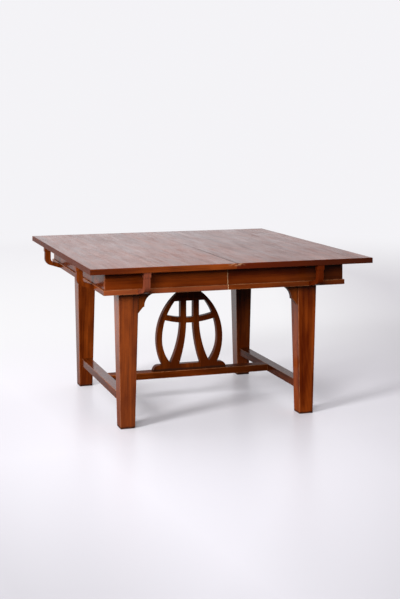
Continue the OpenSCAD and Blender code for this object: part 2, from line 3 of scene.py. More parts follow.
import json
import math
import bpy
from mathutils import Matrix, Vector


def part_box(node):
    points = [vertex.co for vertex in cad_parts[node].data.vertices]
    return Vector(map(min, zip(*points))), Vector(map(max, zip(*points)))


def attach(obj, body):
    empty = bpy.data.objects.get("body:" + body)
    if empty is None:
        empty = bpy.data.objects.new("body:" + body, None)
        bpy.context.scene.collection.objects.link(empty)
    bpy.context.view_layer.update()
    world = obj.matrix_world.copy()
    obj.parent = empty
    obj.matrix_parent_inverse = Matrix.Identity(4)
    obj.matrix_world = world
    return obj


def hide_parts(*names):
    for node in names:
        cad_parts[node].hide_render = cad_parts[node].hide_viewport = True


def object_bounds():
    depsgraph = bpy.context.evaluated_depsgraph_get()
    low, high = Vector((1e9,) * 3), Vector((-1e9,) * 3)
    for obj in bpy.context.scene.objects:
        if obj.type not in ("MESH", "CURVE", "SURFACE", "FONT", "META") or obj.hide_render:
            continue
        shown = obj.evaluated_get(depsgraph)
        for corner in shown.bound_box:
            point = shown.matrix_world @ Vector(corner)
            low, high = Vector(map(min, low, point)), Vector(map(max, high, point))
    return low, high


bl_info = {
    "name": "Extending Table Dresser",
    "version": (1, 0, 0),
    "blender": (4, 5, 0),
    "location": "3D View > Sidebar > Table",
    "description": "Finishes an extending mahogany table on its packed frame",
    "category": "Object",
}

import bmesh
import bpy
from bpy.props import FloatProperty, FloatVectorProperty, IntProperty, PointerProperty
from bpy.types import Operator, Panel, PropertyGroup
from mathutils import Vector

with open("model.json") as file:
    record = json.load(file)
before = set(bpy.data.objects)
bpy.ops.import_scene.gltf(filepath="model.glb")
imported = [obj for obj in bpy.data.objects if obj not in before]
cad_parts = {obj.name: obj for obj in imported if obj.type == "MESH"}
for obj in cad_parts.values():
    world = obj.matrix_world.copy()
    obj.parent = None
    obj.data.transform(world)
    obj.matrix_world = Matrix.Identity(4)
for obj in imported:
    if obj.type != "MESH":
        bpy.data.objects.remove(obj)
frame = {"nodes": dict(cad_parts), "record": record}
CAD_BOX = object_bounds()
NODES = frame["nodes"]
BODIES = frame["record"]["behaviour"]["bodies"]
BODY_OF = {node: body for body, members in BODIES.items() for node in members}
AXES = {"X": 0, "Y": 1, "Z": 2}

# How far inside the top's outer edge a face may be and still count as its edge
EDGE_MARGIN = 0.003
EDGE_PLACE = CAD_BOX[1] - Vector((EDGE_MARGIN, EDGE_MARGIN, 0.0))
# Vertices of a frame mesh that lie closer than this are one
MERGE_DISTANCE = 2e-6
# Faces that meet at less than this are one flat face
FLAT_ANGLE = math.radians(0.25)
# Edges that are sharper than the first are eased, and of the others those sharper than the second stay crisp
EASED_ANGLE = math.radians(32.0)
CRISP_ANGLE = math.radians(24.0)
SCREW_CRISP_ANGLE = math.radians(35.0)
# Corners of a screw that lie further from its axis than this share of its head's radius are on its head
HEAD_SHARE = 0.98
# How squarely a face of the top looks forward or sideways to be its front or its side edge
FRONT_FACING, SIDE_FACING = 0.6, 0.3
# The wear and light of a face, as a colour: red is rubbed pale, partly a painted highlight on the eased edge,
# green is dirt with painted shade in the top's seam, and blue is bare wood with a painted glint at a seam
FRESH = (0.0, 0.0, 0.0, 1.0)
DIRT_AND_SHADE_SEAM = (0.0, 1.0, 0.0, 1.0)
BARE_AND_GLINT_SEAM = (0.0, 0.0, 0.9, 1.0)
# How near the middle an eased edge is when it carries the seam's marks
SEAM_REACH = 0.004

# Patterns along the grain of the polished wood. Each has how often it comes in a metre along the grain and
# across it, and the detail and the roughness of its noise
FIGURE = (1.3, 15.0, 3.0, 0.55)
MOTTLE = (7.0, 22.0, 2.0, 0.5)
RIBBON = (0.8, 42.0, 2.0, 0.5)
VEINS = (1.6, 95.0, 4.0, 0.62)
FIBRES = (12.0, 620.0, 2.0, 0.6)
PORES = (65.0, 1500.0, 1.0, 0.4)
WANDER = (0.9, 5.0, 2.0, 0.5)
# The same for the unpolished wood, whose last pattern is what the plane left
INNER_FIGURE = (1.6, 26.0, 3.0, 0.55)
INNER_VEINS = (2.2, 150.0, 4.0, 0.6)
INNER_FIBRES = (20.0, 900.0, 2.0, 0.6)
INNER_PLANED = (55.0, 3.0, 1.0, 0.3)
# Patterns that don't follow the grain. Each has how often it comes in a metre along X, Y and Z, and the detail
# and the roughness of its noise
WEAR_PATCHES = (28.0, 28.0, 28.0, 3.0, 0.6)
RAGGED_DIRT_AND_SHADE = (40.0, 40.0, 14.0, 2.0, 0.5)
COAT_CLOUDS = (9.0, 4.0, 5.0, 4.0, 0.62)
COAT_HAZE = (55.0, 4.0, 9.0, 3.0, 0.6)
COAT_RUBS = (2.0, 1.4, 1.0, 2.0, 0.5)
SEAM_CRUMBS = (0.0, 30.0, 0.0, 2.0, 0.6)
EDGE_CHIPS = (90.0, 30.0, 160.0, 2.0, 0.6)
TURNED_STEEL = (900.0, 900.0, 900.0, 2.0, 0.5)
DULL_STEEL = (160.0, 160.0, 160.0, 3.0, 0.6)
FLOOR_CLOUDS = (0.7, 0.7, 0.7, 1.0, 0.4)
# Levels of a pattern between which it begins to show and shows fully
VEIN_LEVELS, PORE_LEVELS = (0.54, 0.72), (0.64, 0.72)
PATCH_LEVELS, CRUMB_LEVELS, CHIP_LEVELS = (0.35, 0.62), (0.3, 0.6), (0.42, 0.58)
RUST_LEVELS, DULL_LEVELS = (0.45, 0.7), (0.5, 0.75)
# How far the patterns move on for each wood number, and at most for a board of the top, in metres
PIECE_STEP = (1.7, 2.3, 0.9)
BOARD_STEP = (5.0, 9.0, 3.0)
# How much the two directions across the grain count towards the growth rings, and how far these wander
RING_SLANT, RING_WANDER = (0.42, 0.9), 0.11
# How far the boards of the right half of the top are shifted against those of the left, in boards
BOARD_SHIFT = 0.13
# Strength and depth of the relief of polished wood, unpolished wood and steel
WOOD_RELIEF, INNER_RELIEF, STEEL_RELIEF = (0.16, 0.0004), (0.25, 0.0005), (0.2, 0.0001)
# Sheen of polished wood under its coat: least, most, and what full polish would add
SHEEN_LEAST, SHEEN_MOST, SHEEN_OF_POLISH = 0.006, 0.035, 0.2
# Heights above a piece's foot between which its dark line, dirt on the legs and painted contact shade on the
# splat, fades out
FOOT_FADE = (0.001, 0.0065)
# How far the dark line's upper edge strays
FOOT_STRAY = 0.010
# Half width of the strip beside the seam of the top, and where along Y its dirt and painted shade end and its
# painted highlight grows
SEAM_HALF = 0.0042
SEAM_SHADE_FADE, SEAM_HIGHLIGHT_FADE = (-0.25, 0.15), (0.2, 0.45)
# Distances from the seam, and depths below the top, between which the chips of its edge, pale also as a painted
# glint, fade out
CHIP_FADE = (0.006, 0.045)
CHIP_DEPTHS = (0.003, 0.014)

# The floor's radius, and how far out it turns into the distance
FLOOR_RADIUS = 16.0
FLOOR_FADE = (2.6, 8.0)
# Painted shade on the floor: where its colour dims towards the camera and to the sides, and by what share
FRONT_FADE, FRONT_SHARE = (-2.9, -0.75), 0.40
LEFT_FADE, LEFT_SHARE = (0.75, 1.45), 0.336
RIGHT_FADE, RIGHT_SHARE = (0.95, 1.65), 0.168
FAR_RIGHT_FADE, FAR_RIGHT_SHARE = (0.4, 1.8), 0.22
# Painted light: where the floor glows brighter behind the table, and how strongly. On the right it thins again
GLOW_FADE, GLOW_SHARE = (-0.3, 2.2), 0.86
THIN_FADE, THIN_SHARE = (0.6, 1.6), 0.64
# The lamps, and the parts of the camera that nobody changes
WINDOW_PLACE, WINDOW_AIM = (-6.6, -3.6, 3.5), (0.0, 0.0, 0.35)
FILL_PLACE, FILL_AIM, FILL_SIZE = (-4.2, -8.4, 3.2), (0.0, 0.0, 0.5), (4.5, 1.8)
SENSOR_WIDTH = 36.0
FAR_CLIP = 60.0
# Strength of the even light, where its back, its left and its overhead part fade in, and what they add
SKY_EVEN = 0.04
BACK_FADE, BACK_LIGHT = (-0.35, 0.75), 0.95
SIDE_FADE, SIDE_LIGHT = (0.45, 1.0), 0.40
OVERHEAD_FADE, OVERHEAD_LIGHT = (0.5, 1.0), 0.22


def tone(name, words, rgb):
    return FloatVectorProperty(
        name=name, description=words, subtype="COLOR", size=3, min=0.0, max=1.0, default=rgb,
    )


def length(name, words, metres):
    return FloatProperty(name=name, description=words, subtype="DISTANCE", unit="LENGTH", default=metres, min=0.0)


def power(name, words, watts):
    return FloatProperty(name=name, description=words, subtype="POWER", default=watts, min=0.0)


class TableWoodSettings(PropertyGroup):
    """Colours of the woods and the steel, and the sizes of the wood's figure"""

    light_tone: tone("Light mahogany", "Lighter ground colour of the polished wood", (0.2546, 0.0502, 0.0053))
    dark_tone: tone("Dark mahogany", "Darker ground colour of the polished wood", (0.0798, 0.0125, 0.0014))
    vein_tone: tone("Veins", "Colour of the dark streaks along the grain", (0.0274, 0.0053, 0.0014))
    pore_tone: tone("Pores", "Colour of the short pore lines", (0.026, 0.0055, 0.0018))
    # The rosy tone is faded wood and also a painted sheen of the polish
    rosy_fade_and_sheen_tone: tone("Rosy", "Pale rosy colour of faded wood", (0.30, 0.085, 0.055))
    deep_tone: tone("Deep red", "Deep red colour of wood that light has not faded", (0.115, 0.0045, 0.0005))
    # Rubbed arrises are pale from wear, and paler still as a painted highlight along the eased edge
    worn_and_highlight_tone: tone("Worn arrises", "Colour of edges rubbed pale by hands", (0.48, 0.20, 0.088))
    # Bare arrises at the seams are pale wood, and paler still as a painted glint along the seam
    bare_and_glint_tone: tone("Bare arrises", "Colour of the edges knocked bare where the halves meet", (0.62, 0.36, 0.20))
    # Grime is dirt at the legs' feet and in the top's seam, and painted shade under the splat's foot and in the seam
    grime_and_shade_tone: tone("Grime", "Colour of the dark dirt at the feet and in the seam", (0.020, 0.009, 0.006))
    plain_light: tone("Light inner wood", "Lighter colour of the unpolished wood", (0.42, 0.235, 0.115))
    plain_dark: tone("Dark inner wood", "Darker colour of the unpolished wood", (0.27, 0.135, 0.060))
    steel_tone: tone("Screw steel", "Colour of the screws", (0.36, 0.35, 0.33))
    rust_tone: tone("Dull steel", "Colour of the screws where they have gone brown", (0.12, 0.075, 0.045))
    ring_pitch: length("Ring pitch", "Distance between two growth rings", 0.0065)
    board_width: length("Board width", "Width of a board of the top", 0.178)


class TableEdgeSettings(PropertyGroup):
    """How far the edges are eased"""

    top_ease: length("Top", "Easing of the edges of the top panels", 0.0020)
    leg_ease: length("Legs", "Easing of the edges of legs and stretchers", 0.0022)
    trim_ease: length("Trim", "Easing of the edges of ledges and brackets", 0.0018)
    apron_ease: length("Apron", "Easing of the edges of the apron boards", 0.0014)
    splat_ease: length("Splat", "Easing of the edges of the splat", 0.0018)
    inner_ease: length("Inner wood", "Easing of the edges of the inner pieces", 0.0008)
    ease_steps: IntProperty(name="Steps", description="Facets across an eased edge", default=3, min=1, max=6)


class TableScrewSettings(PropertyGroup):
    """Sizes of the slotted screws"""

    slot_width: length("Slot width", "Width of the slot in a screw head", 0.0011)
    slot_depth: length("Slot depth", "Depth of the slot in a screw head", 0.0011)
    facets: IntProperty(name="Facets", description="Facets round a screw", default=28, min=8, max=64)


class TableStudioSettings(PropertyGroup):
    """Floor, light and camera"""

    floor_tone: tone("Floor", "Colour of the pale floor", (0.897, 0.886, 0.94))
    floor_bounce: tone("Floor bounce", "Colour of the light that the floor throws back", (0.05, 0.048, 0.05))
    # The floor behind the table glows in this colour, a painted light
    floor_far: tone("Far floor", "Colour of the floor behind the table", (0.965, 0.96, 0.975))
    distance_tone: tone("Distance", "Colour that the floor fades to, seen behind it", (0.905, 0.897, 0.925))
    sky_tone: tone("Sky", "Colour of the even light all round", (1.0, 0.965, 1.0))
    sky_strength: FloatProperty(
        name="Sky strength", description="Strength of the even light", default=1.0, min=0.0,
    )
    key_power: power("Key light", "Power of the window light", 600.0)
    key_width: length("Key width", "Width of the window light", 1.65)
    key_height: length("Key height", "Height of the window light", 2.8)
    fill_power: power("Fill light", "Power of the fill light", 700.0)
    camera_place: FloatVectorProperty(
        name="Camera place", description="Where the camera stands", subtype="TRANSLATION", unit="LENGTH",
        default=(-1.7607, -5.5870, 1.4322),
    )
    camera_heading: FloatProperty(
        name="Camera heading", description="Turn of the level camera away from +Y, towards +X", subtype="ANGLE",
        default=0.31626,
    )
    camera_lens: FloatProperty(
        name="Lens", description="Focal length of the camera", unit="CAMERA", default=70.237, min=1.0,
    )
    shift_x: FloatProperty(name="Shift X", description="Sideways shift of the lens", default=-0.00292)
    shift_y: FloatProperty(name="Shift Y", description="Upward shift of the lens", default=-0.31346)


class Value:
    """A number on a socket. An expression on values adds its Math nodes."""

    def __init__(self, net, socket):
        self.net = net
        self.socket = socket

    def math(self, operation, *others):
        node = self.net.node("ShaderNodeMath", {"operation": operation}, dict(enumerate((self, *others))))
        return Value(self.net, node.outputs[0])

    def flipped(self, operation, other):
        node = self.net.node("ShaderNodeMath", {"operation": operation}, {0: other, 1: self})
        return Value(self.net, node.outputs[0])

    def __add__(self, other):
        return self.math("ADD", other)

    __radd__ = __add__

    def __sub__(self, other):
        return self.math("SUBTRACT", other)

    def __rsub__(self, other):
        return self.flipped("SUBTRACT", other)

    def __mul__(self, other):
        return self.math("MULTIPLY", other)

    __rmul__ = __mul__

    def __truediv__(self, other):
        return self.math("DIVIDE", other)

    def __rtruediv__(self, other):
        return self.flipped("DIVIDE", other)

    def __gt__(self, other):
        return self.math("GREATER_THAN", other)

    def __lt__(self, other):
        return self.math("LESS_THAN", other)

    def clamped(self):
        return self.ramped(0.0, 1.0)

    def ramped(self, start, end, smooth=False):
        """0 at start and 1 at end, and level beyond them."""
        kind = "SMOOTHSTEP" if smooth else "LINEAR"
        node = self.net.node(
            "ShaderNodeMapRange", {"interpolation_type": kind, "clamp": True},
            {"Value": self, "From Min": start, "From Max": end},
        )
        return Value(self.net, node.outputs["Result"])


class Net:
    """The node tree of one material, or of the world."""

    def __init__(self, tree, keep=False):
        self.tree = tree
        if not keep:
            tree.nodes.clear()

    def node(self, kind, settings=None, inputs=None):
        """Any node. Its settings come first, and then the values or links of its sockets."""
        made = self.tree.nodes.new(kind)
        for key, setting in (settings or {}).items():
            setattr(made, key, setting)
        for key, given in (inputs or {}).items():
            socket = made.inputs[key]
            if isinstance(given, Value):
                given = given.socket
            if isinstance(given, bpy.types.NodeSocket):
                self.tree.links.new(given, socket)
            else:
                socket.default_value = given
        return made

    def value(self, made, key=0):
        return Value(self, made.outputs[key])

    def object_place(self):
        return self.node("ShaderNodeTexCoord").outputs["Object"]

    def split(self, vector):
        made = self.node("ShaderNodeSeparateXYZ", inputs={0: vector})
        return [self.value(made, i) for i in range(3)]

    def joined(self, x, y, z):
        return self.node("ShaderNodeCombineXYZ", inputs={0: x, 1: y, 2: z}).outputs[0]

    def stretched(self, vector, factors, offset=(0.0, 0.0, 0.0)):
        made = self.node("ShaderNodeVectorMath", {"operation": "MULTIPLY_ADD"}, {0: vector, 1: factors, 2: offset})
        return made.outputs[0]

    def moved(self, vector, offset):
        return self.node("ShaderNodeVectorMath", {"operation": "ADD"}, {0: vector, 1: offset}).outputs[0]

    def speckled(self, vector, pattern, offset=(0.0, 0.0, 0.0)):
        """Noise by a pattern that doesn't follow the grain."""
        *repeats, detail, roughness = pattern
        made = self.node(
            "ShaderNodeTexNoise", {"noise_dimensions": "3D", "normalize": True},
            {
                "Vector": self.stretched(vector, repeats, offset), "Scale": 1.0,
                "Detail": detail, "Roughness": roughness,
            },
        )
        return self.value(made)

    def grained(self, vector, grain, pattern, offset=(0.0, 0.0, 0.0)):
        """Noise by a pattern along the grain."""
        along, across, detail, roughness = pattern
        repeats = [along if axis == grain else across for axis in AXES]
        return self.speckled(vector, (*repeats, detail, roughness), offset)

    def scatter(self, vector):
        """A different number from 0 to 1 for every whole-number place."""
        made = self.node("ShaderNodeTexWhiteNoise", {"noise_dimensions": "3D"}, {"Vector": vector})
        return self.value(made, "Value")

    def blended(self, amount, first, second):
        """A Mix node's colours are its inputs 6 and 7 and its output 2, as other kinds share their names."""
        made = self.node("ShaderNodeMix", {"data_type": "RGBA"}, {0: amount, 6: first, 7: second})
        return made.outputs[2]

    def raised(self, height, strength, distance):
        made = self.node("ShaderNodeBump", inputs={"Height": height, "Strength": strength, "Distance": distance})
        return made.outputs[0]


def new_material(name):
    made = bpy.data.materials.new(name)
    made.use_nodes = True
    return made, Net(made.node_tree)


def finished(net, **sockets):
    """Ends a material in one shader. Plain numbers are set on the shader's own sockets."""
    shader = net.node("ShaderNodeBsdfPrincipled", inputs={k.replace("_", " "): v for k, v in sockets.items()})
    net.node("ShaderNodeOutputMaterial", inputs={0: shader.outputs[0]})


def reopened(made):
    """The nodes and the shader of a finished material, so that more can be laid over it."""
    net = Net(made.node_tree, keep=True)
    return net, next(n for n in net.tree.nodes if n.type == "BSDF_PRINCIPLED")


def feeding(shader, name):
    return shader.inputs[name].links[0].from_socket


def colour(values):
    return (*values[:3], 1.0)


def mahogany(
    name, grain, shade, redness, polish, seed,
    gloss=0.28, boards=False, foot=None, wear_and_highlight=0.7, depth=1.0, shade_drift=None,
):
    """Polished mahogany. Its grain runs along one axis, so every piece shows long grain on its sides.

    Redness above 0 turns the wood towards the rosy tone, which is partly a painted sheen, and below 0 towards the
    deep one. Wood with less polish has less sheen of its own too. A dark line lies above the height foot: dirt on
    the legs and painted contact shade on the splat. Boards gives each board of the top its own wood, and depth is
    how far light and dark wood differ. A shade drift is painted shade: it darkens the wood along an axis, from one
    place to another, by a share. Wear and highlight scales the pale of the eased edges, which is partly a painted
    highlight.
    """
    wood = bpy.context.scene.table_wood
    made, net = new_material(name)
    place = net.object_place()
    x, y, z = net.split(place)
    shifted = net.moved(place, [seed * step for step in PIECE_STEP])
    if boards:
        half = x > 0.0
        board = (x / wood.board_width + half * BOARD_SHIFT).math("FLOOR")
        lot = net.scatter(net.joined(board, half, 3.0))
        shifted = net.moved(shifted, net.joined(*(lot * step for step in BOARD_STEP)))
    figure = net.grained(shifted, grain, FIGURE)
    mottle = net.grained(shifted, grain, MOTTLE)
    veins = net.grained(shifted, grain, VEINS)
    fibres = net.grained(shifted, grain, FIBRES)
    pores = net.grained(shifted, grain, PORES).ramped(*PORE_LEVELS)
    wander = net.grained(shifted, grain, WANDER)
    ribbon = net.grained(shifted, grain, RIBBON, (3.0, 5.0, 7.0))
    across = [part for part, axis in zip(net.split(shifted), AXES) if axis != grain]
    inward = across[0] * RING_SLANT[0] + across[1] * RING_SLANT[1] + wander * RING_WANDER
    rings = (inward * (2 * math.pi / wood.ring_pitch)).math("SINE")
    # The number after each pattern is how far it moves the wood between dark and light
    ground = (figure - 0.5) * 1.9 + (ribbon - 0.5) * 1.2 + (mottle - 0.5) * 1.2 + rings * 0.07
    ground = 0.5 + shade + (ground + (fibres - 0.5) * 0.25) * depth
    if boards:
        ground = ground + (lot - 0.5) * 0.24
    tinted = net.blended(ground.clamped(), colour(wood.dark_tone), colour(wood.light_tone))
    tinted = net.blended(veins.ramped(*VEIN_LEVELS, True) * 0.75, tinted, colour(wood.vein_tone))
    tinted = net.blended(pores * 0.45, tinted, colour(wood.pore_tone))
    # Rosy tone: faded wood and a painted sheen of the polish
    if redness:
        tinted = net.blended(abs(redness), tinted, colour(wood.rosy_fade_and_sheen_tone if redness > 0 else wood.deep_tone))
    # Painted shade: the wood darkens along an axis towards the end where less light falls
    if shade_drift:
        axis, start, end, share = shade_drift
        along_it = (x, y, z)[AXES[axis]]
        tinted = net.blended(along_it.ramped(start, end, True) * share, tinted, colour(wood.vein_tone))
    # Eased edges are rubbed pale, partly a painted highlight; the seams carry their own marks
    wear_and_light = net.node("ShaderNodeAttribute", {"attribute_type": "GEOMETRY", "attribute_name": "wear_and_light"})
    rubbed, grime_and_shade, bare = net.split(wear_and_light.outputs["Color"])
    patchy = net.speckled(place, WEAR_PATCHES).ramped(*PATCH_LEVELS)
    rubbed = rubbed * (patchy * 0.65 + 0.35) * wear_and_highlight
    tinted = net.blended(rubbed.clamped(), tinted, colour(wood.worn_and_highlight_tone))
    tinted = net.blended(bare, tinted, colour(wood.bare_and_glint_tone))
    # Dark line at the foot: dirt on the legs, painted contact shade where the splat stands on the stretcher
    if foot is not None:
        ragged = net.speckled(place, RAGGED_DIRT_AND_SHADE) * FOOT_STRAY
        grime_and_shade = grime_and_shade.math("MAXIMUM", 1.0 - (z - ragged - foot).ramped(*FOOT_FADE))
    tinted = net.blended((grime_and_shade * 0.8).clamped(), tinted, colour(wood.grime_and_shade_tone))
    # The number after each pattern is how much rougher, or higher, it makes the surface
    rough = gloss + (mottle - 0.5) * 0.16 + (fibres - 0.5) * 0.06 + pores * 0.12 + rubbed * 0.10 + grime_and_shade * 0.25
    height = fibres * 0.35 + veins * 0.25 - pores * 0.8
    sheen = min(SHEEN_MOST, SHEEN_LEAST + polish * SHEEN_OF_POLISH)
    finished(
        net, Base_Color=tinted, Roughness=rough.math("MAXIMUM", 0.05), Normal=net.raised(height, *WOOD_RELIEF),
        IOR=1.5, Specular_IOR_Level=sheen,
        Coat_Weight=(1.0 - grime_and_shade).clamped() * polish, Coat_Roughness=0.12, Coat_IOR=1.3,
    )
    return made


def tabletop(name, shade, redness, polish, seed):
    """The polish of the top: the same wood in boards, under a coat that is dull and hazy by place. Beside the seam
    it is dark towards the front with dirt and painted shade, and pale towards the back as a painted highlight.
    """
    wood = bpy.context.scene.table_wood
    made = mahogany(name, "Y", shade, redness, polish, seed, gloss=0.33, boards=True, wear_and_highlight=1.0, depth=0.75)
    net, shader = reopened(made)
    place = net.object_place()
    cloudy = net.speckled(place, COAT_CLOUDS, (seed, 0.0, 0.0))
    hazy = net.speckled(place, COAT_HAZE, (4.0, seed, 0.0))
    rubbed = net.speckled(place, COAT_RUBS, (seed, 2.0, 0.0))
    x, y, _ = net.split(place)
    # The coat thins towards the right, and on the left half towards the back too
    slope = x * 0.18 + y * 0.14 * (x < 0.0)
    coat = 0.47 - slope + (cloudy - 0.5) * 0.5 + (hazy - 0.5) * 0.8 + (rubbed - 0.5) * 0.3
    # Beside the seam: dirt and painted shade towards the front, a painted highlight towards the back
    beside = x.math("ABSOLUTE") < SEAM_HALF
    crumbs = net.speckled(place, SEAM_CRUMBS).ramped(*CRUMB_LEVELS)
    seam_dirt_and_shade = beside * (1.0 - y.ramped(*SEAM_SHADE_FADE)) * (crumbs * 0.4 + 0.6)
    seam_highlight = beside * y.ramped(*SEAM_HIGHLIGHT_FADE) * crumbs * 0.5
    tinted = net.blended(seam_highlight, feeding(shader, "Base Color"), colour(wood.worn_and_highlight_tone))
    tinted = net.blended(seam_dirt_and_shade, tinted, colour(wood.grime_and_shade_tone))
    net.tree.links.new(tinted, shader.inputs["Base Color"])
    clean = Value(net, feeding(shader, "Coat Weight")) * (1.0 - seam_dirt_and_shade)
    net.tree.links.new((clean * 2.0 * coat.clamped()).socket, shader.inputs["Coat Weight"])
    shader.inputs["Coat Roughness"].default_value = 0.09
    return made


def lipping(name, shade, redness, polish, seed, shade_drift):
    """The front and back edge of the top: long grain along X, chipped pale at its upper corner beside the seam,
    where the pale is also a painted glint.
    """
    wood = bpy.context.scene.table_wood
    made = mahogany(name, "X", shade, redness, polish, seed, wear_and_highlight=1.0, depth=1.4, shade_drift=shade_drift)
    net, shader = reopened(made)
    place = net.object_place()
    x, _, z = net.split(place)
    below = CAD_BOX[1].z - z
    # Pale chips beside the seam, partly a painted glint
    chips = net.speckled(place, EDGE_CHIPS).ramped(*CHIP_LEVELS)
    chipped_and_glint = (1.0 - x.math("ABSOLUTE").ramped(*CHIP_FADE)) * (1.0 - below.ramped(*CHIP_DEPTHS)) * chips
    tinted = net.blended(chipped_and_glint * 0.8, feeding(shader, "Base Color"), colour(wood.bare_and_glint_tone))
    net.tree.links.new(tinted, shader.inputs["Base Color"])
    return made


def inner_wood(name, grain):
    """Planed wood without polish, for what the top and the base hide."""
    wood = bpy.context.scene.table_wood
    made, net = new_material(name)
    place = net.object_place()
    figure = net.grained(place, grain, INNER_FIGURE)
    veins = net.grained(place, grain, INNER_VEINS)
    fibres = net.grained(place, grain, INNER_FIBRES)
    planed = net.grained(place, grain, INNER_PLANED)
    ground = 0.5 + (figure - 0.5) * 1.5 + (veins - 0.5) * 0.9 + (fibres - 0.5) * 0.4
    tinted = net.blended(ground.clamped(), colour(wood.plain_dark), colour(wood.plain_light))
    height = fibres * 0.4 + veins * 0.4 + planed * 0.3
    finished(
        net, Base_Color=tinted, Roughness=0.66 + (veins - 0.5) * 0.2,
        Normal=net.raised(height, *INNER_RELIEF), Specular_IOR_Level=0.3,
    )
    return made


def screw_steel(name):
    """Turned steel that has gone dull and brown in places."""
    wood = bpy.context.scene.table_wood
    made, net = new_material(name)
    place = net.object_place()
    turned = net.speckled(place, TURNED_STEEL)
    dull = net.speckled(place, DULL_STEEL)
    tinted = net.blended(dull.ramped(*RUST_LEVELS) * 0.6, colour(wood.steel_tone), colour(wood.rust_tone))
    finished(
        net, Base_Color=tinted, Metallic=1.0 - dull.ramped(*DULL_LEVELS) * 0.6,
        Roughness=0.36 + (dull - 0.5) * 0.4, Normal=net.raised(turned, *STEEL_RELIEF),
    )
    return made


# Start of a node's name, grain, shade, redness, polish, wood number and slot. The first row that fits counts.
# A side edge and a lipping are faces of a top panel that have a finish of their own.
# Shade is partly painted shade: wood is darker where less light falls, on the right, at the back and under the top
FINISHES = (
    ("top_panel_left", "Y", -0.06, 0.14, 0.5, 11, "top_mahogany"),
    ("top_panel_right", "Y", -0.18, 0.12, 0.5, 23, "top_mahogany"),
    ("side_edge_left", "Y", -0.72, 0.0, 0.02, 28, "top_mahogany"),
    ("side_edge_right", "Y", -0.60, 0.0, 0.02, 29, "top_mahogany"),
    ("lipping_left", "X", -0.04, -0.10, 0.2, 26, "top_mahogany"),
    ("lipping_right", "X", -0.20, -0.35, 0.15, 27, "top_mahogany"),
    ("leg_front_left", "Z", -0.01, 0.10, 0.50, 1, "base_mahogany"),
    ("leg_front_right", "Z", 0.02, -0.25, 0.35, 2, "base_mahogany"),
    ("leg_back_left", "Z", -0.12, -0.08, 0.45, 3, "base_mahogany"),
    ("leg_back_right", "Z", -0.36, 0.0, 1.0, 4, "base_mahogany"),
    ("corbel", "Z", -0.22, 0.0, 0.2, 6, "base_mahogany"),
    ("side_stretcher_left", "Y", -0.36, 0.0, 0.58, 7, "base_mahogany"),
    ("side_stretcher_right", "Y", -0.46, 0.0, 0.16, 17, "base_mahogany"),
    ("centre_stretcher", "X", -0.18, 0.0, 0.0, 8, "base_mahogany"),
    ("fret_splat", "Z", -0.44, 0.0, 0.10, 9, "base_mahogany"),
    ("frame_rail_front", "X", -0.25, 0.0, 0.2, 5, "apron_mahogany"),
    ("frame_rail_back", "X", -0.25, 0.0, 0.2, 5, "apron_mahogany"),
    ("apron_front_left", "X", -0.04, -0.26, 0.08, 12, "apron_mahogany"),
    ("apron_front_right", "X", -0.12, -0.22, 0.08, 18, "apron_mahogany"),
    ("apron_back", "X", -0.12, 0.0, 0.25, 19, "apron_mahogany"),
    ("apron_end_left", "Y", -0.60, 0.0, 0.2, 13, "apron_mahogany"),
    ("apron_end", "Y", -0.24, 0.0, 0.35, 25, "apron_mahogany"),
    ("ledge_front_left", "X", 0.76, 0.20, 0.45, 14, "trim_mahogany"),
    ("ledge_front_right", "X", -0.04, -0.15, 0.2, 20, "trim_mahogany"),
    ("ledge_back", "X", 0.08, 0.0, 0.3, 21, "trim_mahogany"),
    ("ledge_end", "Y", -0.12, 0.0, 0.12, 15, "trim_mahogany"),
    ("bracket_front_left", "Z", -0.44, 0.36, 0.12, 16, "trim_mahogany"),
    ("bracket_front_right", "Z", -1.05, -0.20, 0.06, 22, "trim_mahogany"),
    ("bracket_", "Z", -0.26, 0.0, 0.06, 24, "trim_mahogany"),
    ("frame_rail_", "Y", 0.0, 0.0, 0.0, 0, "inner_wood"),
    ("", "X", 0.0, 0.0, 0.0, 0, "inner_wood"),
)
# Painted shade: axis, start, end and share by which the wood of a piece darkens towards the end where less light
# falls
SHADE_DRIFTS = {
    "lipping_right": ("X", -0.10, 0.62, 0.75),
    "apron_front_right": ("X", 0.20, 0.52, 0.75),
    "ledge_front_right": ("X", 0.10, 0.60, 0.40),
    "fret_splat": ("Z", 0.32, 0.14, 0.30),
    "centre_stretcher": ("X", 0.0, 0.30, 0.62),
    "side_stretcher_right": ("Y", -0.95, 0.30, 0.62),
}
# How far light and dark wood differ, where it is more than usual
DEPTHS = {"leg_front_right": 1.6, "leg_front_left": 1.2, "ledge_front_left": 1.3}
# Height of the dark line above what a piece stands on, by the first word of its name. It is dirt at the legs' feet
# and painted contact shade where the splat stands on the stretcher
FEET = {"leg": 0.0, "fret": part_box("fret_splat")[0].z}


def finish_for(node):
    """The finish and the record's slot of a wooden node. Nodes of one row share one finish."""
    start, grain, shade, redness, polish, number, slot_name = next(r for r in FINISHES if node.startswith(r[0]))
    name = "inner wood " + grain if slot_name == "inner_wood" else start.strip("_").replace("_", " ") + " wood"
    ready = bpy.data.materials.get(name)
    if ready:
        return ready, slot_name
    shade_drift = SHADE_DRIFTS.get(start)
    if slot_name == "inner_wood":
        made = inner_wood(name, grain)
    elif start.startswith("top_panel"):
        made = tabletop(name, shade, redness, polish, number)
    elif start.startswith("lipping"):
        made = lipping(name, shade, redness, polish, number, shade_drift)
    else:
        foot, depth = FEET.get(start.split("_")[0]), DEPTHS.get(start, 1.0)
        made = mahogany(name, grain, shade, redness, polish, number, foot=foot, depth=depth, shade_drift=shade_drift)
    return made, slot_name


def merged(node):
    """A copy of a node's mesh for editing, with its loose triangles joined."""
    shape = bmesh.new()
    shape.from_mesh(NODES[node].data)
    bmesh.ops.remove_doubles(shape, verts=shape.verts, dist=MERGE_DISTANCE)
    return shape


